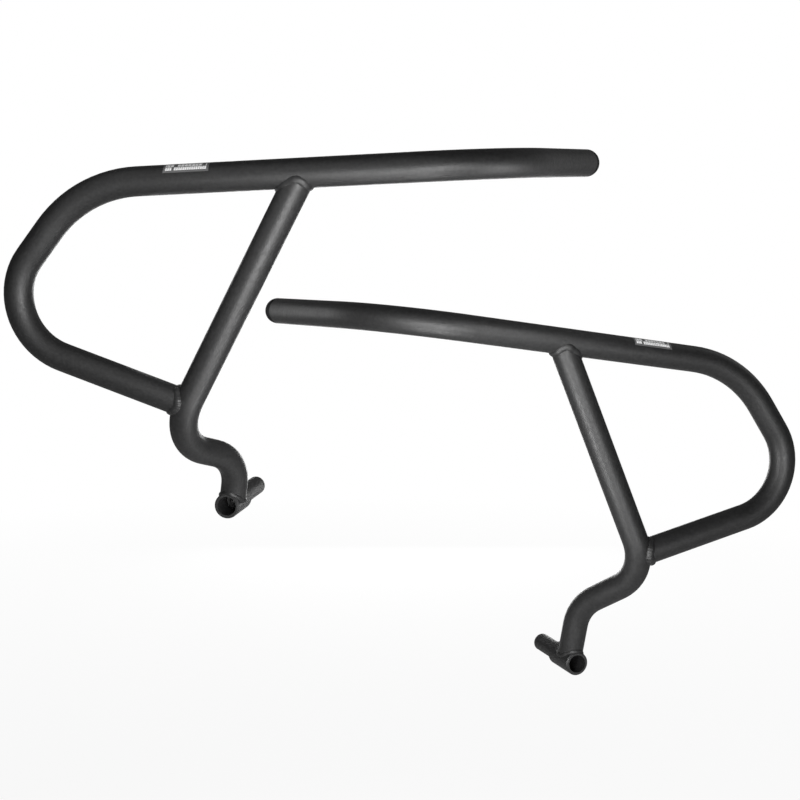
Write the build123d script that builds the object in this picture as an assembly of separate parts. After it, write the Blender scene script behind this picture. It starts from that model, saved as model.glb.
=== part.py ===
from build123d import *
from math import cos, radians, sin
import os

# Motorcycle crash bars: a left and a right guard of bent and welded round steel tube.
# Millimetres. Origin on the left bolt axis at the spacer's seat, +Y into the motorcycle, +Z up, +X to the tip.

# Tube
tube_od = 25.0
tube_wall = 2.0

# Loop, measured from the point where the strut's axis meets the top run's axis
top_run = 190.0             # along the top, back to the corner of the large bend
rear_run = 158.0            # from that corner down to the corner of the tight bend
rear_angle = 48.0           # the rear run's slope below the top run
low_angle = 157.5           # the low run's heading, turned from the top run
rear_bend = 110.0
low_bend = 55.0
loop_lean = -4.5            # how far the loop's plane tips off upright
loop_twist = 2.0            # how far it turns off the motorcycle's length

# Tip
tip_setback = 165.0         # along the top, forward to the corner of the tip's bend
tip_angle = 68.0            # how far the tip turns in
tip_dip = 3.0               # how far it turns down
tip_run = 174.0
tip_bend = 110.0

# Strut and foot
strut_angle = 59.0          # the strut's slope below the top run
strut_bend = 51.0
left_strut_run = 263.5      # to the corner of the first bend
left_kick = (35.7, 81.0, -29.0)
left_neck = (-13.0, 16.0, -45.5)
right_strut_run = 245.5
right_kick = (30.4, 71.8, -46.7)
right_neck = (-6.3, 19.5, -58.0)
cope_ear = 6.5              # the coped ends' ears are trimmed this far from the other tube's axis

# Sleeve and spacer
sleeve_od = tube_od - 1.0
sleeve_wall = 3.0
sleeve_bore = sleeve_od - 2 * sleeve_wall
sleeve_length = 42.0
sleeve_lip = 5.5            # how far the sleeve's open mouth stands out past the neck's half width
sleeve_lead = tube_od / 2 + sleeve_lip
sleeve_edge = 1.2
spacer_bore = 10.5          # clears an M10 bolt
spacer_grip = 15.0          # the length held in the sleeve
spacer_edge = 0.8
left_spacer_out = 56.0
right_spacer_out = 40.0
left_sleeve_tilt = 0.0      # how far the foot's bolt axis rises inwards
right_sleeve_tilt = 3.7

# End plug
plug_lip = 3.0
plug_stem = 16.0
plug_stem_od = 17.0
plug_stem_wall = 2.0
plug_fins = 3
plug_fin = 1.2

# Welds
bead_width = 3.2            # from the skin of the tube that ends there, out over the tube that runs through
bead_climb = 4.5            # from the skin of the tube that runs through, up the tube that ends there
bead_crown = 0.5            # how far the bead stands proud where the two skins run level
mouth_bare = 4.0            # the sleeve's mouth is left bare this far

# How the two guards lie in the shared frame
left_rise = 2.5             # the top run rises towards the tip
right_rise = 8.9
right_turn = 30.3
right_nod = -5.7
right_place = (306.5, -44.0, 156.0)

outer_radius = tube_od / 2
inner_radius = tube_od / 2 - tube_wall

lean = radians(loop_lean)
twist = radians(loop_twist)
along = Vector(cos(twist), sin(twist), 0)
up = Vector(-sin(twist) * sin(lean), cos(twist) * sin(lean), cos(lean))
inward = up.cross(along)


def heading(degrees):
    """The direction in the loop's plane that slopes this far below the backward run."""
    angle = radians(degrees)
    return along * -cos(angle) + up * -sin(angle)


def rod(path, radius):
    """A solid round bar along a path."""
    start = Plane(origin=path @ 0, z_dir=path % 0)
    return sweep(start * Circle(radius), path=path)


def weld(root, out, main_path, main_radius, first, second):
    """A bead round the foot of a branch: the through tube's skin lifted along the branch, cut to a collar."""
    collar_path = Line(root - out * outer_radius, root + out * 4 * outer_radius)
    collar = rod(collar_path, outer_radius + bead_width)
    lifted = Pos(*(out * bead_climb)) * rod(main_path, main_radius + bead_crown)
    bead = (collar & lifted) - first - second
    return max(bead.solids(), key=lambda piece: piece.volume)


def end_plug(tip, direction):
    """A plastic plug with a domed head and a finned, hollow stem."""
    stem = Pos(0, 0, -plug_stem / 2) * Cylinder(plug_stem_od / 2, plug_stem)
    lip = Pos(0, 0, plug_lip / 2) * Cylinder(outer_radius, plug_lip)
    ball = Pos(0, 0, plug_lip) * Sphere(outer_radius)
    dome = split(ball, bisect_by=Plane(origin=(0, 0, plug_lip)), keep=Keep.TOP)
    plug = stem + lip + dome
    for number in range(plug_fins):
        height = -plug_stem * (number + 0.5) / plug_fins
        plug += Pos(0, 0, height) * Cylinder(inner_radius, plug_fin)
    hollow = Cylinder(plug_stem_od / 2 - plug_stem_wall, plug_stem)
    plug -= Pos(0, 0, -plug_stem / 2) * hollow
    return Plane(origin=tip, z_dir=direction) * plug


def guard(strut_run, kick, neck, spacer_out, sleeve_tilt):
    """One guard in its own frame: origin where the strut's axis meets the top run's axis."""
    centre = Vector(0, 0, 0)

    # Loop corners, from the free tip round to the strut
    turn = radians(tip_angle)
    dip = radians(tip_dip)
    tip_way = along * cos(turn) + (inward * cos(dip) - up * sin(dip)) * sin(turn)
    tip_corner = along * tip_setback
    tip = tip_corner + tip_way * tip_run
    rear_corner = along * -top_run
    low_corner = rear_corner + heading(rear_angle) * rear_run
    low_way = heading(low_angle)
    strut_way = heading(strut_angle)
    square = strut_way.cross(inward)
    low_run = -low_corner.dot(square) / low_way.dot(square)
    meeting = low_corner + low_way * low_run
    loop_end = meeting - low_way * cope_ear
    loop_radii = [tip_bend, rear_bend, low_bend]
    loop_path = FilletPolyline(tip, tip_corner, rear_corner, low_corner, loop_end, radius=loop_radii)

    # Strut corners, from the top run down to the sleeve
    first_corner = strut_way * strut_run
    second_corner = first_corner + Vector(*kick)
    foot = second_corner + Vector(*neck)
    neck_way = Vector(*neck).normalized()
    strut_start = strut_way * cope_ear
    strut_end = foot - neck_way * cope_ear
    strut_path = FilletPolyline(strut_start, first_corner, second_corner, strut_end, radius=strut_bend)

    # Sleeve across the foot, and the spacer tube in its inner end
    bolt_way = Vector(0, cos(radians(sleeve_tilt)), sin(radians(sleeve_tilt)))
    mouth = foot - bolt_way * sleeve_lead
    far_end = mouth + bolt_way * sleeve_length
    seat = far_end + bolt_way * spacer_out
    sleeve_path = Line(mouth, far_end)
    spacer_path = Line(far_end - bolt_way * spacer_grip, seat)
    bead_path = Line(mouth + bolt_way * mouth_bare, far_end)
    sleeve_rod = rod(sleeve_path, sleeve_od / 2)
    sleeve = chamfer(sleeve_rod.edges(), sleeve_edge) - rod(sleeve_path, sleeve_bore / 2)
    spacer_rod = rod(spacer_path, sleeve_bore / 2)
    spacer = chamfer(spacer_rod.edges(), spacer_edge) - rod(spacer_path, spacer_bore / 2)

    # Tubes, coped where they meet
    loop_rod = rod(loop_path, outer_radius)
    strut_rod = rod(strut_path, outer_radius)
    loop_tube = loop_rod - rod(loop_path, inner_radius) - strut_rod
    strut_tube = strut_rod - rod(strut_path, inner_radius) - loop_rod - sleeve_rod

    pieces = {
        "loop_tube": loop_tube,
        "strut_tube": strut_tube,
        "mount_sleeve": sleeve,
        "spacer_tube": spacer,
        "end_plug": end_plug(tip, (tip - tip_corner).normalized()),
        "upper_weld": weld(centre, strut_way, loop_path, outer_radius, loop_rod, strut_rod),
        "lower_weld": weld(meeting, low_way * -1, strut_path, outer_radius, strut_rod, loop_rod),
        "sleeve_weld": weld(foot, neck_way * -1, bead_path, sleeve_od / 2, sleeve_rod, strut_rod),
    }
    return pieces, seat


left, left_seat = guard(left_strut_run, left_kick, left_neck, left_spacer_out, left_sleeve_tilt)
right, right_seat = guard(right_strut_run, right_kick, right_neck, right_spacer_out, right_sleeve_tilt)

left_pose = Rot(0, -left_rise, 0) * Pos(*(left_seat * -1))
right_pose = Pos(*right_place) * Rot(0, 0, right_turn) * Rot(right_nod, 0, 0) * Rot(0, right_rise, 0)

os.makedirs("parts", exist_ok=True)
for name, piece in left.items():
    export_step(left_pose * piece, f"parts/left_{name}.step")
for name, piece in right.items():
    export_step(right_pose * mirror(piece, about=Plane.YZ), f"parts/right_{name}.step")
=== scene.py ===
import math

import bpy
from mathutils import Matrix, Vector


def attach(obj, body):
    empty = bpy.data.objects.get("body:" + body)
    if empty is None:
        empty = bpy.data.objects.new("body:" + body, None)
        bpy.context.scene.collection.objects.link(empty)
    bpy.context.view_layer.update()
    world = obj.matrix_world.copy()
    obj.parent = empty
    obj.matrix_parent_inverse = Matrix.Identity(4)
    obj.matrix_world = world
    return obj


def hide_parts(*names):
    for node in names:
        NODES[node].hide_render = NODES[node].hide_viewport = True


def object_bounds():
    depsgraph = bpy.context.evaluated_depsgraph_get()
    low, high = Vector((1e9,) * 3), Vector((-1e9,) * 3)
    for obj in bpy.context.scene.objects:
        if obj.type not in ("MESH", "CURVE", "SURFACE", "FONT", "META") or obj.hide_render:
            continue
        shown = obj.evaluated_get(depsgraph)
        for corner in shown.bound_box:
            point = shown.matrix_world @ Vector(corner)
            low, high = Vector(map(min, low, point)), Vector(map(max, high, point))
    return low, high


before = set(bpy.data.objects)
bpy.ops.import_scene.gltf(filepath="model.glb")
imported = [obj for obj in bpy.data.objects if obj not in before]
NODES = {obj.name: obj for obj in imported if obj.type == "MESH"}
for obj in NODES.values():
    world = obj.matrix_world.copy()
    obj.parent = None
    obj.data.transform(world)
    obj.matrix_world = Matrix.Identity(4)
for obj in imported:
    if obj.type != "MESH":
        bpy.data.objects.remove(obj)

bl_info = {
    "name": "Crash bars",
    "version": (1, 0, 0),
    "blender": (4, 5, 0),
    "location": "View3D > Sidebar > Crash bars",
    "description": "Dresses a pair of tubular motorcycle crash bars and sets them in a plain studio",
    "category": "Object",
}

CAD_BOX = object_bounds()

# The bars' driving sizes, the same as in the part's source, in metres and degrees.
TUBE_RADIUS = 0.0125
SLEEVE_RADIUS = 0.012
TOP_RUN = 0.190
REAR_RUN = 0.158
REAR_ANGLE = 48.0
LOW_ANGLE = 157.5
STRUT_ANGLE = 59.0
STRUT_BEND = 0.051
LOOP_LEAN = -4.5
LOOP_TWIST = 2.0
SLEEVE_PAST = 0.024         # the sleeve's reach past the foot, to the spacer
LEFT_RISE = 2.5
RIGHT_RISE = 8.9
RIGHT_TURN = 30.3
RIGHT_NOD = -5.7
RIGHT_PLACE = (0.3065, -0.044, 0.156)

# What differs between the two bars' feet.
FEET = {
    "left": {
        "strut_run": 0.2635, "kick": (0.0357, 0.0810, -0.0290), "neck": (-0.0130, 0.0160, -0.0455),
        "sleeve_tilt": 0.0, "spacer_out": 0.056},
    "right": {
        "strut_run": 0.2455, "kick": (0.0304, 0.0718, -0.0467), "neck": (-0.0063, 0.0195, -0.0580),
        "sleeve_tilt": 3.7, "spacer_out": 0.040},
}
SIDES = tuple(FEET)

# Weld beads.
SEAM_STEPS = 180            # points round a seam
TIGHT_SINK = 0.1            # how much deeper a bead sinks where the tubes close up
OPEN_SINK = -0.08           # and where they open out
BALL_SEGMENTS = 20
BALL_RINGS = 12
BALL_PRESS = 0.62           # a ripple's length along the seam, as a share of its width
UNEVEN = 0.15               # a ripple's change in size, for a pitch as long as its radius
UNEVEN_LEAN = 3.0           # its lean in radians, as a multiple of that change
UNEVEN_LENGTH = 0.003       # the length along the seam that the waves below are counted in
SIZE_WAVE = 2.1
LEAN_WAVE = 1.7
SLOW_WAVE = 0.83
SLOW_DEPTH = 0.03

# Labels.
LABEL_STEPS = 180           # facets round the whole tube
LABEL_GAP = 0.00002         # the air between a label and its tube
LABEL_CUTS = 2
LABEL_CORNER = 40.0         # edges sharper than this stay sharp

# Materials.
NOISE_MIDDLE = (0.3, 0.7)   # where most of a noise's values lie
FINE_DETAIL = 2.0
ROUGH_SIZE = 0.003          # the size of the patches in which the roughness varies
ROUGH_CHANGE = 0.06
FILM_ROUGH = (0.36, 0.46)
INK_WEAR = 0.0012           # the size of the worn spots in the print
INK_LEFT = (0.7, 1.0)       # how much ink is left there and elsewhere
DASH_GONE = 0.12            # the share of dashes left out
DASH_ENDS = (0.07, 0.93)    # a dash in its own length
ROW_ENDS = (0.05, 0.95)     # a row along the label

# Stage.
FLOOR_SIZE = 12.0
FLOOR_MIDDLE = (0.18, 0.0)
FLOOR_GREY = 0.85
FADE_REACH = (0.6, 2.0)     # the floor is a little grey near the bars and white further off
FADE_WHITE = (0.92, 1.0)
MIRROR_BACK = (0.25, 0.75)  # how far back a mirrored ray has to head to see none or all of the surround
SENSOR = 36.0
LENS = 56.25
CAMERA_PLACE = (0.36227, -1.20182, 0.26254)
CAMERA_VIEW = (-0.17366, 0.97492, -0.13917)


def turned(degrees, axis):
    """A turn about an axis."""
    return Matrix.Rotation(math.radians(degrees), 4, axis)


def bar_places(side):
    """A bar's welds, its upper joint, the way its top run goes and the way out from the motorcycle.

    A weld is the point on the through tube's axis, the way the branch leaves it, the way the through tube
    runs there and the through tube's radius.
    """
    foot = FEET[side]
    twist, lean = math.radians(LOOP_TWIST), math.radians(LOOP_LEAN)
    along = Vector((math.cos(twist), math.sin(twist), 0))
    up = Vector((-math.sin(twist) * math.sin(lean), math.cos(twist) * math.sin(lean), math.cos(lean)))
    inward = up.cross(along)

    def heading(degrees):
        """The direction in the loop's plane that slopes this far below the backward run."""
        angle = math.radians(degrees)
        return along * -math.cos(angle) + up * -math.sin(angle)

    # Where the loop's low end meets the strut, and the way the strut goes there, just past its bend's start
    strut_way, low_way = heading(STRUT_ANGLE), heading(LOW_ANGLE)
    square = strut_way.cross(inward)
    low_corner = along * -TOP_RUN + heading(REAR_ANGLE) * REAR_RUN
    meeting = low_corner - low_way * (low_corner.dot(square) / low_way.dot(square))
    kick, neck = Vector(foot["kick"]), Vector(foot["neck"])
    bend_start = foot["strut_run"] - STRUT_BEND * math.tan(strut_way.angle(kick) / 2)
    past = max(meeting.length - bend_start, 0.0) / STRUT_BEND
    sideways = (kick - strut_way * kick.dot(strut_way)).normalized()
    strut_there = strut_way * math.cos(past) + sideways * math.sin(past)
    sag = STRUT_BEND * (1.0 - math.cos(past)) * sideways.dot(low_way)

    # The foot, the bolt and the seat
    end = strut_way * foot["strut_run"] + kick + neck
    tilt = math.radians(foot["sleeve_tilt"])
    bolt_way = Vector((0, math.cos(tilt), math.sin(tilt)))
    seat = end + bolt_way * (SLEEVE_PAST + foot["spacer_out"])

    # From the bar's own frame to the shared one
    if side == "left":
        place = turned(-LEFT_RISE, "Y") @ Matrix.Translation(-seat)
    else:
        flip = Matrix.Scale(-1, 4, (1, 0, 0))
        place = Matrix.Translation(RIGHT_PLACE) @ turned(RIGHT_TURN, "Z") @ turned(RIGHT_NOD, "X")
        place = place @ turned(RIGHT_RISE, "Y") @ flip
    turn = place.to_3x3()
    joint = place @ Vector((0, 0, 0))
    welds = {
        "upper": (joint, turn @ strut_way, turn @ along, TUBE_RADIUS),
        "lower": (place @ (meeting + low_way * sag), turn @ -low_way, turn @ strut_there, TUBE_RADIUS),
        "sleeve": (place @ end, turn @ -neck.normalized(), turn @ bolt_way, SLEEVE_RADIUS),
    }
    return welds, joint, turn @ along, turn @ -inward


class CoatSettings(bpy.types.PropertyGroup):
    """The black powder coat."""
    colour: bpy.props.FloatVectorProperty(
        name="Colour", description="Colour of the powder coat", subtype="COLOR", size=3, min=0, max=1,
        default=(0.010, 0.010, 0.0102))
    grain: bpy.props.FloatProperty(
        name="Grain", description="Size of the coat's fine grain", default=0.0016, min=0.0002, unit="LENGTH")
    roughness: bpy.props.FloatProperty(
        name="Roughness", description="Mean roughness of the coat", default=0.5, min=0, max=1, subtype="FACTOR")


class WeldSettings(bpy.types.PropertyGroup):
    """The weld beads: smooth under the top runs, ropey at the loops' low ends, small at the sleeves."""
    upper: bpy.props.FloatVectorProperty(
        name="Upper", description="Upper bead's radius, sink into the corner and ripple pitch", size=3,
        default=(0.0052, 0.0041, 0.0010), unit="LENGTH")
    lower: bpy.props.FloatVectorProperty(
        name="Lower", description="Lower bead's radius, sink into the corner and ripple pitch", size=3,
        default=(0.0048, 0.0036, 0.0017), unit="LENGTH")
    sleeve: bpy.props.FloatVectorProperty(
        name="Sleeve", description="Sleeve bead's radius, sink into the corner and ripple pitch", size=3,
        default=(0.0032, 0.0022, 0.0010), unit="LENGTH")
    crown: bpy.props.FloatProperty(
        name="Crown", description="Distance of a bead's arch from the through tube's axis", default=0.0066,
        min=0.001, unit="LENGTH")
    voxel: bpy.props.FloatProperty(
        name="Voxel", description="Mesh size of a finished bead", default=0.0005, min=0.0003, unit="LENGTH")


class LabelSettings(bpy.types.PropertyGroup):
    """The small labels on the top runs."""
    length: bpy.props.FloatProperty(
        name="Length", description="Length along the tube", default=0.039, min=0.01, unit="LENGTH")
    left_setback: bpy.props.FloatProperty(
        name="Left setback", description="Distance from the left strut's joint to its label's middle",
        default=0.0955, unit="LENGTH")
    right_setback: bpy.props.FloatProperty(
        name="Right setback", description="Distance from the right strut's joint to its label's middle",
        default=0.0905, unit="LENGTH")
    low: bpy.props.FloatProperty(
        name="Low edge", description="Angle of the low edge above level", default=math.radians(29),
        subtype="ANGLE")
    high: bpy.props.FloatProperty(
        name="High edge", description="Angle of the high edge above level", default=math.radians(80),
        subtype="ANGLE")
    film: bpy.props.FloatProperty(
        name="Film", description="Thickness of the label's film", default=0.00012, min=0.00005, unit="LENGTH")
    film_colour: bpy.props.FloatVectorProperty(
        name="Film colour", description="Colour of the film round the print", subtype="COLOR", size=3,
        min=0, max=1, default=(0.1, 0.1, 0.101))
    ink: bpy.props.FloatVectorProperty(
        name="Ink", description="Colour of the printed dashes", subtype="COLOR", size=3, min=0, max=1,
        default=(0.9, 0.9, 0.9))


class PlugSettings(bpy.types.PropertyGroup):
    """The end plugs."""
    colour: bpy.props.FloatVectorProperty(
        name="Colour", description="Colour of the moulded plastic", subtype="COLOR", size=3, min=0, max=1,
        default=(0.003, 0.003, 0.0032))
    roughness: bpy.props.FloatProperty(
        name="Roughness", description="Mean roughness of the plastic", default=0.5, min=0, max=1,
        subtype="FACTOR")


class StageSettings(bpy.types.PropertyGroup):
    """The studio."""
    high_power: bpy.props.FloatProperty(
        name="High light", description="Power of the soft light above the left bar", default=0.4, unit="POWER")
    middle_power: bpy.props.FloatProperty(
        name="Middle light", description="Power of the smaller light in front of both bars", default=1.2,
        unit="POWER")
    low_power: bpy.props.FloatProperty(
        name="Low light", description="Power of the small light between the two bars", default=1.22,
        unit="POWER")
    wide_power: bpy.props.FloatProperty(
        name="Wide light", description="Power of the large light in front, to the right", default=27.5,
        unit="POWER")
    back_power: bpy.props.FloatProperty(
        name="Back light", description="Power of the large light straight behind", default=9.0, unit="POWER")
    bend_power: bpy.props.FloatProperty(
        name="Bend light", description="Power of the small light beside the left bar's tip bend", default=0.23,
        unit="POWER")
    left_tip_power: bpy.props.FloatProperty(
        name="Left tip light", description="Power of the small light behind the left bar's tip", default=0.1,
        unit="POWER")
    right_tip_power: bpy.props.FloatProperty(
        name="Right tip light", description="Power of the small light beside the right bar's tip",
        default=0.135, unit="POWER")
    ambient: bpy.props.FloatProperty(
        name="Ambient", description="Strength of the even light all round", default=0.05, min=0,
        subtype="FACTOR")
    mirrored: bpy.props.FloatProperty(
        name="Mirrored", description="Share of the white surround that shows in reflections", default=0.15,
        min=0, max=1, subtype="FACTOR")
    floor_drop: bpy.props.FloatProperty(
        name="Floor drop", description="Distance of the floor under the bars", default=0.25, unit="LENGTH")


def deselect():
    """Leaves nothing selected and no object in edit mode."""
    if bpy.context.object and bpy.context.object.mode != "OBJECT":
        bpy.ops.object.mode_set(mode="OBJECT")
    bpy.ops.object.select_all(action="DESELECT")


def choose(piece):
    """Makes one piece the selected and active object."""
    deselect()
    piece.select_set(True)
    bpy.context.view_layer.objects.active = piece


def apply_modifier(piece, kind, **values):
    """Adds a modifier with these values and applies it."""
    choose(piece)
    modifier = piece.modifiers.new(kind.title(), kind)
    for key, value in values.items():
        setattr(modifier, key, value)
    bpy.ops.object.modifier_apply(modifier=modifier.name)


def settle(piece):
    """Puts a piece's place into its mesh, so that its object sits at the origin."""
    choose(piece)
    bpy.ops.object.transform_apply(location=True, rotation=True, scale=True)


def blank_material(name):
    """A material with one Principled shader, and its node tree, shader and Object coordinates."""
    material = bpy.data.materials.new(name)
    material.use_nodes = True
    tree = material.node_tree
    shader = tree.nodes["Principled BSDF"]
    place = tree.nodes.new("ShaderNodeTexCoord").outputs["Object"]
    return material, tree, shader, place


def sum_of(tree, operation, value, other=None):
    """One sum on a value, with a number or with another value."""
    node = tree.nodes.new("ShaderNodeMath")
    node.operation = operation
    tree.links.new(value, node.inputs[0])
    if isinstance(other, float):
        node.inputs[1].default_value = other
    elif other:
        tree.links.new(other, node.inputs[1])
    return node.outputs[0]


def remap(tree, value, reach, result):
    """Runs from end to end of the result while a value runs from end to end of its reach."""
    node = tree.nodes.new("ShaderNodeMapRange")
    node.inputs["From Min"].default_value, node.inputs["From Max"].default_value = reach
    node.inputs["To Min"].default_value, node.inputs["To Max"].default_value = result
    tree.links.new(value, node.inputs["Value"])
    return node.outputs["Result"]


def noise(tree, place, size, detail=3.0):
    """A noise whose features are about this size in metres."""
    node = tree.nodes.new("ShaderNodeTexNoise")
    node.inputs["Scale"].default_value = 1.0 / size
    node.inputs["Detail"].default_value = detail
    tree.links.new(place, node.inputs["Vector"])
    return node.outputs["Fac"]


def shade_of(tree, value, colour, shades):
    """A colour that a noise makes darker and lighter."""
    ramp = tree.nodes.new("ShaderNodeValToRGB")
    for stop, position, shade in zip(ramp.color_ramp.elements, NOISE_MIDDLE, shades):
        stop.position = position
        stop.color = (*[c * shade for c in colour], 1)
    tree.links.new(value, ramp.inputs["Fac"])
    return ramp.outputs["Color"]


def bump(tree, height, strength, distance):
    """A bump from a height."""
    node = tree.nodes.new("ShaderNodeBump")
    node.inputs["Strength"].default_value = strength
    node.inputs["Distance"].default_value = distance
    tree.links.new(height, node.inputs["Height"])
    return node.outputs["Normal"]


def grained(name, settings, mottle, shades, grain, strength, depth, gloss):
    """A material with a slight mottle, an uneven roughness and a fine grain in its surface.

    The mottle and the grain are the size and the detail of a noise.
    """
    found = bpy.data.materials.get(name)
    if found:
        return found
    material, tree, shader, place = blank_material(name)
    colour = shade_of(tree, noise(tree, place, *mottle), settings.colour, shades)
    tree.links.new(colour, shader.inputs["Base Color"])
    rough = (settings.roughness - ROUGH_CHANGE, settings.roughness + ROUGH_CHANGE)
    rough = remap(tree, noise(tree, place, ROUGH_SIZE), NOISE_MIDDLE, rough)
    tree.links.new(rough, shader.inputs["Roughness"])
    height = noise(tree, place, *grain)
    tree.links.new(bump(tree, height, strength, depth), shader.inputs["Normal"])
    shader.inputs["Specular IOR Level"].default_value = gloss
    return material


def powder_coat():
    """Satin-matt black powder coat with a fine grain and a slight mottle."""
    settings = bpy.context.scene.crash_coat
    return grained(
        "powder_coat", settings, mottle=(0.0026, FINE_DETAIL), shades=(0.62, 1.38),
        grain=(settings.grain, FINE_DETAIL), strength=0.7, depth=0.0002, gloss=0.5)


def moulded_plastic():
    """Deep black moulded plastic, duller than the coat."""
    settings = bpy.context.scene.crash_plug
    return grained(
        "moulded_plastic", settings, mottle=(0.012,), shades=(0.85, 1.15),
        grain=(0.0007, FINE_DETAIL), strength=0.2, depth=0.00006, gloss=0.12)


def printed_film():
    """A grey film with plain printed dashes."""
    found = bpy.data.materials.get("printed_film")
    if found:
        return found
    settings = bpy.context.scene.crash_label
    material, tree, shader, place = blank_material("printed_film")
    across = tree.nodes.new("ShaderNodeUVMap")
    across.uv_map = "wrap"
    split = tree.nodes.new("ShaderNodeSeparateXYZ")
    tree.links.new(across.outputs["UV"], split.inputs["Vector"])

    def band(value, low, high):
        """One inside the band from low to high, nought outside it."""
        above = sum_of(tree, "GREATER_THAN", value, low)
        return sum_of(tree, "MULTIPLY", above, sum_of(tree, "LESS_THAN", value, high))

    def dashes(count, start, low, high):
        """A row of short printed dashes of which some are missing."""
        run = sum_of(tree, "MULTIPLY", split.outputs["X"], count)
        chance = tree.nodes.new("ShaderNodeTexWhiteNoise")
        chance.noise_dimensions = "1D"
        tree.links.new(sum_of(tree, "ADD", sum_of(tree, "FLOOR", run), start), chance.inputs["W"])
        ink = sum_of(tree, "GREATER_THAN", chance.outputs["Value"], DASH_GONE)
        ink = sum_of(tree, "MULTIPLY", ink, band(sum_of(tree, "FRACT", run), *DASH_ENDS))
        ink = sum_of(tree, "MULTIPLY", ink, band(split.outputs["X"], *ROW_ENDS))
        return sum_of(tree, "MULTIPLY", ink, band(split.outputs["Y"], low, high))

    upper = dashes(count=13.0, start=3.0, low=0.52, high=0.86)
    lower = dashes(count=21.0, start=40.0, low=0.16, high=0.46)
    worn = remap(tree, noise(tree, place, INK_WEAR), NOISE_MIDDLE, INK_LEFT)
    ink = sum_of(tree, "MULTIPLY", sum_of(tree, "MAXIMUM", upper, lower), worn)
    mix = tree.nodes.new("ShaderNodeMix")
    mix.data_type = "RGBA"
    mix.inputs["A"].default_value = (*settings.film_colour, 1)
    mix.inputs["B"].default_value = (*settings.ink, 1)
    tree.links.new(ink, mix.inputs["Factor"])
    tree.links.new(mix.outputs["Result"], shader.inputs["Base Color"])
    rough = remap(tree, noise(tree, place, ROUGH_SIZE), NOISE_MIDDLE, FILM_ROUGH)
    tree.links.new(rough, shader.inputs["Roughness"])
    return material


def dress(piece, material):
    """Gives a piece its only material."""
    piece.data.materials.clear()
    piece.data.materials.append(material)


class CRASH_OT_coat_steel(bpy.types.Operator):
    """Coats the bent tubes, the sleeves and the spacers."""
    bl_idname = "crash.coat_steel"
    bl_label = "Coat the steel"

    def execute(self, context):
        for side in SIDES:
            for part in ("loop_tube", "strut_tube", "mount_sleeve", "spacer_tube"):
                dress(NODES[f"{side}_{part}"], powder_coat())
        return {"FINISHED"}


def saddle(root, out, along, radius, crown, sink):
    """Points round the corner where a branch's skin runs into the through tube, with the two arches rounded."""
    side = out.orthogonal().normalized()
    slant = out.dot(along)
    square = 1.0 - slant * slant
    points = []
    for step in range(SEAM_STEPS):
        spoke = Matrix.Rotation(math.tau * step / SEAM_STEPS, 3, out) @ side
        reach = spoke.dot(along) * TUBE_RADIUS
        under = slant ** 2 * reach ** 2 + square * (reach ** 2 + radius ** 2 - TUBE_RADIUS ** 2)
        height = (slant * reach + math.sqrt(max(under, 0.0) + (crown * square) ** 2)) / square
        corner = spoke * TUBE_RADIUS + out * height
        skin = (corner - along * corner.dot(along)).normalized()
        flank = abs(spoke.dot(along)) / math.sqrt(square)
        tight = slant * reach > 0
        share = 1.0 + flank ** 4 * (TIGHT_SINK if tight else OPEN_SINK)
        points.append(root + corner - (spoke + skin).normalized() * sink * share)
    return points


def evenly(points, pitch):
    """Points along a closed run, one pitch apart, each with the run's direction."""
    reach = [0.0]
    for here, there in zip(points, points[1:] + points[:1]):
        reach.append(reach[-1] + (there - here).length)
    count = round(reach[-1] / pitch)
    placed = []
    step = 0
    for number in range(count):
        want = reach[-1] * number / count
        while reach[step + 1] < want:
            step += 1
        here, there = points[step], points[(step + 1) % len(points)]
        share = (want - reach[step]) / max(reach[step + 1] - reach[step], 1e-9)
        placed.append((here.lerp(there, share), (there - here).normalized()))
    return placed


def pressed_ball(radius):
    """A ball pressed flat, which is one ripple of a bead."""
    deselect()
    bpy.ops.mesh.primitive_uv_sphere_add(segments=BALL_SEGMENTS, ring_count=BALL_RINGS, radius=radius)
    bpy.ops.object.mode_set(mode="EDIT")
    bpy.ops.mesh.select_all(action="SELECT")
    bpy.ops.transform.resize(value=(1.0, 1.0, BALL_PRESS), center_override=(0, 0, 0))
    bpy.ops.object.mode_set(mode="OBJECT")
    return bpy.context.object


def ripples(ring, radius, pitch):
    """Ripples along a ring, each a little uneven, joined into one piece."""
    ball = pressed_ball(radius)
    uneven = pitch / radius * UNEVEN
    dabs = []
    for number, (point, way) in enumerate(ring):
        dab = ball.copy()
        dab.data = ball.data.copy()
        run = number * pitch / UNEVEN_LENGTH
        wander = 1.0 + uneven * math.sin(run * SIZE_WAVE) + SLOW_DEPTH * math.sin(run * SLOW_WAVE)
        lean = Matrix.Rotation(uneven * UNEVEN_LEAN * math.sin(run * LEAN_WAVE), 4, "X")
        turn = way.to_track_quat("Z", "Y").to_matrix().to_4x4()
        dab.data.transform(Matrix.Translation(point) @ turn @ lean @ Matrix.Scale(wander, 4))
        bpy.context.collection.objects.link(dab)
        dabs.append(dab)
    bpy.data.objects.remove(ball)
    deselect()
    for dab in dabs:
        dab.select_set(True)
    bpy.context.view_layer.objects.active = dabs[0]
    bpy.ops.object.join()
    return bpy.context.object


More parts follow.
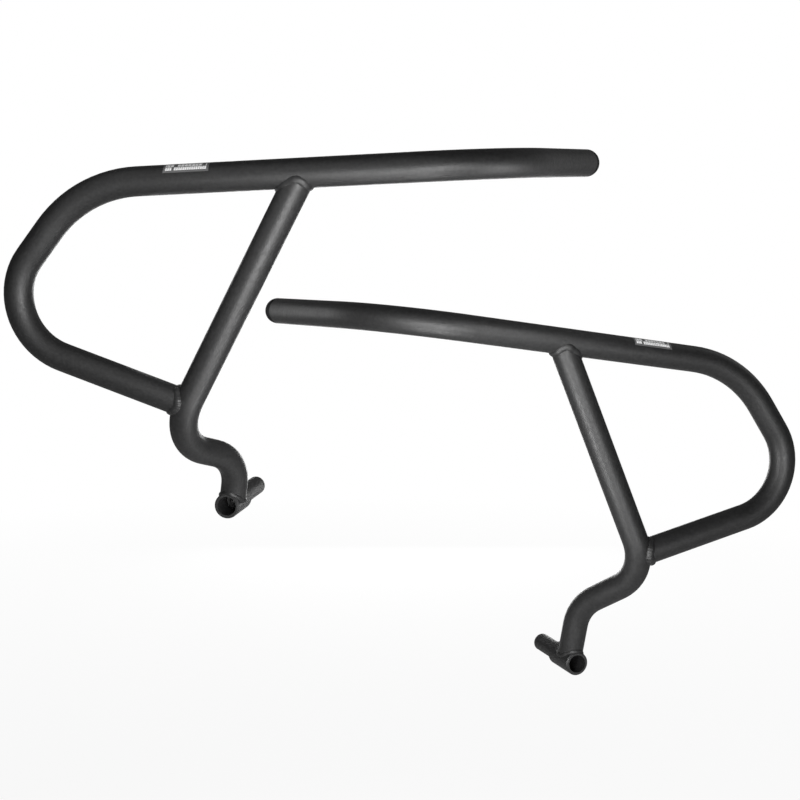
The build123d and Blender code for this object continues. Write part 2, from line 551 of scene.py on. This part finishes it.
class CRASH_OT_lay_welds(bpy.types.Operator):
    """Lays a rippled bead round each welded joint."""
    bl_idname = "crash.lay_welds"
    bl_label = "Lay the welds"

    def execute(self, context):
        settings = context.scene.crash_weld
        welds = [(side, kind, weld) for side in SIDES for kind, weld in bar_places(side)[0].items()]
        for side, kind, (root, out, along, tube) in welds:
            radius, sink, pitch = getattr(settings, kind)
            seam = saddle(root, out, along, tube, settings.crown, sink)
            bead = ripples(evenly(seam, pitch), radius, pitch)
            bead.name = f"{side}_{kind}_bead"
            apply_modifier(bead, "REMESH", mode="VOXEL", voxel_size=settings.voxel)
            apply_modifier(bead, "SMOOTH", factor=0.5, iterations=5)
            choose(bead)
            bpy.ops.object.shade_smooth()
            dress(bead, powder_coat())
            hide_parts(f"{side}_{kind}_weld")
            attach(bead, "root")
        return {"FINISHED"}


class CRASH_OT_fit_plugs(bpy.types.Operator):
    """Gives the end plugs their moulded plastic."""
    bl_idname = "crash.fit_plugs"
    bl_label = "Fit the plugs"

    def execute(self, context):
        for side in SIDES:
            dress(NODES[f"{side}_end_plug"], moulded_plastic())
        return {"FINISHED"}


def curved_film(settings):
    """A label's film round the Z axis, at the tube's skin, with the share along and up it as its UV."""
    deselect()
    bpy.ops.mesh.primitive_cylinder_add(
        vertices=LABEL_STEPS, radius=TUBE_RADIUS + LABEL_GAP, depth=settings.length, end_fill_type="NOTHING")
    label = bpy.context.object
    bpy.ops.object.mode_set(mode="EDIT")
    bpy.ops.mesh.select_all(action="DESELECT")
    bpy.ops.object.mode_set(mode="OBJECT")
    for face in label.data.polygons:
        angle = math.atan2(face.center.y, face.center.x)
        face.select = not settings.low <= angle <= settings.high
    bpy.ops.object.mode_set(mode="EDIT")
    bpy.ops.mesh.select_mode(type="FACE")
    bpy.ops.mesh.delete(type="FACE")
    bpy.ops.mesh.select_all(action="SELECT")
    bpy.ops.mesh.subdivide(number_cuts=LABEL_CUTS)
    bpy.ops.object.mode_set(mode="OBJECT")
    wrap = label.data.uv_layers.new(name="wrap")
    for loop in label.data.loops:
        spot = label.data.vertices[loop.vertex_index].co
        angle = math.atan2(spot.y, spot.x)
        run = spot.z / settings.length + 0.5
        rise = (angle - settings.low) / (settings.high - settings.low)
        wrap.data[loop.index].uv = (run, rise)
    apply_modifier(label, "SOLIDIFY", thickness=settings.film, offset=1.0)
    return label


class CRASH_OT_stick_labels(bpy.types.Operator):
    """Sticks a small plain label on the front of each top run."""
    bl_idname = "crash.stick_labels"
    bl_label = "Stick the labels"

    def execute(self, context):
        settings = context.scene.crash_label
        for side in SIDES:
            _, joint, along, front = bar_places(side)
            top = along.cross(front)
            if top.z < 0:
                top = -top
            label = curved_film(settings)
            label.name = f"{side}_label"
            middle = joint - along * getattr(settings, f"{side}_setback")
            place = Matrix((front, top, along)).transposed().to_4x4()
            if place.determinant() < 0:
                place = Matrix((front, top, -along)).transposed().to_4x4()
            label.matrix_world = Matrix.Translation(middle) @ place
            settle(label)
            bpy.ops.object.shade_smooth_by_angle(angle=math.radians(LABEL_CORNER))
            dress(label, printed_film())
            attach(label, "root")
        return {"FINISHED"}


def seen_directly(tree, mirrored, where=None):
    """One for rays from the camera or through a clear piece, a share for mirrored rays, nought for light."""
    path = tree.nodes.new("ShaderNodeLightPath")
    gloss = sum_of(tree, "MULTIPLY", path.outputs["Is Glossy Ray"], mirrored)
    if where:
        gloss = sum_of(tree, "MULTIPLY", gloss, where)
    seen = sum_of(tree, "MAXIMUM", path.outputs["Is Camera Ray"], gloss)
    return sum_of(tree, "MAXIMUM", seen, path.outputs["Is Transmission Ray"])


def white_surround(settings):
    """A world that looks white, shows a little in reflections and gives an even, weak light."""
    world = bpy.data.worlds.new("white_surround")
    world.use_nodes = True
    tree = world.node_tree
    tree.nodes.clear()
    aim = tree.nodes.new("ShaderNodeTexCoord")
    split = tree.nodes.new("ShaderNodeSeparateXYZ")
    tree.links.new(aim.outputs["Generated"], split.inputs["Vector"])
    behind = remap(tree, split.outputs["Y"], MIRROR_BACK, (0.0, 1.0))
    seen = seen_directly(tree, settings.mirrored, behind)
    light = tree.nodes.new("ShaderNodeBackground")
    light.inputs["Color"].default_value = (1, 1, 1, 1)
    strength = remap(tree, seen, (0.0, 1.0), (settings.ambient, 1.0))
    tree.links.new(strength, light.inputs["Strength"])
    out = tree.nodes.new("ShaderNodeOutputWorld")
    tree.links.new(light.outputs["Background"], out.inputs["Surface"])
    return world


def pale_floor(settings):
    """A material that looks white, a little grey near the bars, and returns light as pale grey."""
    material = bpy.data.materials.new("pale_floor")
    material.use_nodes = True
    tree = material.node_tree
    tree.nodes.clear()
    place = tree.nodes.new("ShaderNodeTexCoord")
    reach = tree.nodes.new("ShaderNodeVectorMath")
    reach.operation = "LENGTH"
    tree.links.new(place.outputs["Object"], reach.inputs[0])
    fade = remap(tree, reach.outputs["Value"], FADE_REACH, FADE_WHITE)
    share = sum_of(tree, "MULTIPLY", seen_directly(tree, settings.mirrored), fade)
    pale = tree.nodes.new("ShaderNodeBsdfDiffuse")
    pale.inputs["Color"].default_value = (FLOOR_GREY, FLOOR_GREY, FLOOR_GREY, 1)
    white = tree.nodes.new("ShaderNodeEmission")
    white.inputs["Strength"].default_value = 1.0
    mix = tree.nodes.new("ShaderNodeMixShader")
    tree.links.new(share, mix.inputs[0])
    tree.links.new(pale.outputs[0], mix.inputs[1])
    tree.links.new(white.outputs[0], mix.inputs[2])
    out = tree.nodes.new("ShaderNodeOutputMaterial")
    tree.links.new(mix.outputs[0], out.inputs["Surface"])
    return material


def soft_light(name, place, target, size, power):
    """A soft rectangular lamp at a place, turned to a target."""
    data = bpy.data.lights.new(name, "AREA")
    data.shape = "RECTANGLE"
    data.size, data.size_y = size
    data.energy = power
    lamp = bpy.data.objects.new(name, data)
    lamp.location = place
    lamp.visible_camera = False
    lamp.rotation_euler = (Vector(target) - Vector(place)).to_track_quat("-Z", "Y").to_euler()
    bpy.context.scene.collection.objects.link(lamp)


class CRASH_OT_set_stage(bpy.types.Operator):
    """Sets the floor, the soft lights, the white surround and the camera."""
    bl_idname = "crash.set_stage"
    bl_label = "Set the stage"

    def execute(self, context):
        settings = context.scene.crash_stage
        scene = context.scene
        scene.view_settings.view_transform = "Standard"
        scene.world = white_surround(settings)

        deselect()
        drop = CAD_BOX[0].z - settings.floor_drop
        bpy.ops.mesh.primitive_plane_add(size=FLOOR_SIZE, location=(*FLOOR_MIDDLE, drop))
        floor = context.object
        floor.name = "floor"
        settle(floor)
        floor.data.materials.append(pale_floor(settings))

        soft_light(
            "high_light", place=(0.003, -0.377, 0.344), target=(0.12, -0.1, 0.22),
            size=(0.467, 0.467), power=settings.high_power)
        soft_light(
            "middle_light", place=(0.2, -0.45, 0.12), target=(0.2, 0.0, 0.2),
            size=(0.2, 0.2), power=settings.middle_power)
        soft_light(
            "low_light", place=(0.224, -0.30, -0.108), target=(0.32, 0.02, 0.04),
            size=(0.12, 0.12), power=settings.low_power)
        soft_light(
            "wide_light", place=(1.0, -1.8, -0.2), target=(0.18, -0.05, 0.08),
            size=(0.9, 0.4), power=settings.wide_power)
        soft_light(
            "back_light", place=(-0.1, 1.5, -0.15), target=(0.18, -0.05, 0.07),
            size=(0.9, 0.45), power=settings.back_power)
        soft_light(
            "bend_light", place=(0.37, -0.18, 0.235), target=(0.32, -0.03, 0.318),
            size=(0.12, 0.12), power=settings.bend_power)
        soft_light(
            "left_tip_light", place=(0.62, 0.20, 0.37), target=(0.33, 0.0, 0.318),
            size=(0.15, 0.4), power=settings.left_tip_power)
        soft_light(
            "right_tip_light", place=(-0.08, -0.055, 0.195), target=(0.06, -0.03, 0.178),
            size=(0.1, 0.15), power=settings.right_tip_power)

        data = bpy.data.cameras.new("camera")
        data.sensor_width = SENSOR
        data.lens = LENS
        camera = bpy.data.objects.new("camera", data)
        camera.location = CAMERA_PLACE
        camera.rotation_euler = Vector(CAMERA_VIEW).to_track_quat("-Z", "Y").to_euler()
        scene.collection.objects.link(camera)
        scene.camera = camera
        return {"FINISHED"}


class CRASH_PT_panel(bpy.types.Panel):
    """Lists the crash bars' steps and settings."""
    bl_idname = "CRASH_PT_panel"
    bl_label = "Crash bars"
    bl_space_type = "VIEW_3D"
    bl_region_type = "UI"
    bl_category = "Crash bars"

    def draw(self, context):
        for group, step in STEPS:
            box = self.layout.box()
            settings = getattr(context.scene, group)
            for name in settings.bl_rna.properties.keys():
                if name not in ("rna_type", "name"):
                    box.prop(settings, name)
            box.operator(step)


STEPS = (
    ("crash_coat", "crash.coat_steel"),
    ("crash_weld", "crash.lay_welds"),
    ("crash_plug", "crash.fit_plugs"),
    ("crash_label", "crash.stick_labels"),
    ("crash_stage", "crash.set_stage"),
)

GROUPS = {
    "crash_coat": CoatSettings,
    "crash_weld": WeldSettings,
    "crash_label": LabelSettings,
    "crash_plug": PlugSettings,
    "crash_stage": StageSettings,
}

CLASSES = (
    *GROUPS.values(),
    CRASH_OT_coat_steel,
    CRASH_OT_lay_welds,
    CRASH_OT_fit_plugs,
    CRASH_OT_stick_labels,
    CRASH_OT_set_stage,
    CRASH_PT_panel,
)


def register():
    """Adds the classes and the scene's settings."""
    for item in CLASSES:
        bpy.utils.register_class(item)
    for name, group in GROUPS.items():
        setattr(bpy.types.Scene, name, bpy.props.PointerProperty(type=group))


def unregister():
    """Takes the settings and the classes away again."""
    for name in GROUPS:
        delattr(bpy.types.Scene, name)
    for item in reversed(CLASSES):
        bpy.utils.unregister_class(item)


def main():
    """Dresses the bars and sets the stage."""
    register()
    bpy.ops.crash.coat_steel()
    bpy.ops.crash.lay_welds()
    bpy.ops.crash.fit_plugs()
    bpy.ops.crash.stick_labels()
    bpy.ops.crash.set_stage()


if __name__ == "__main__":
    main()
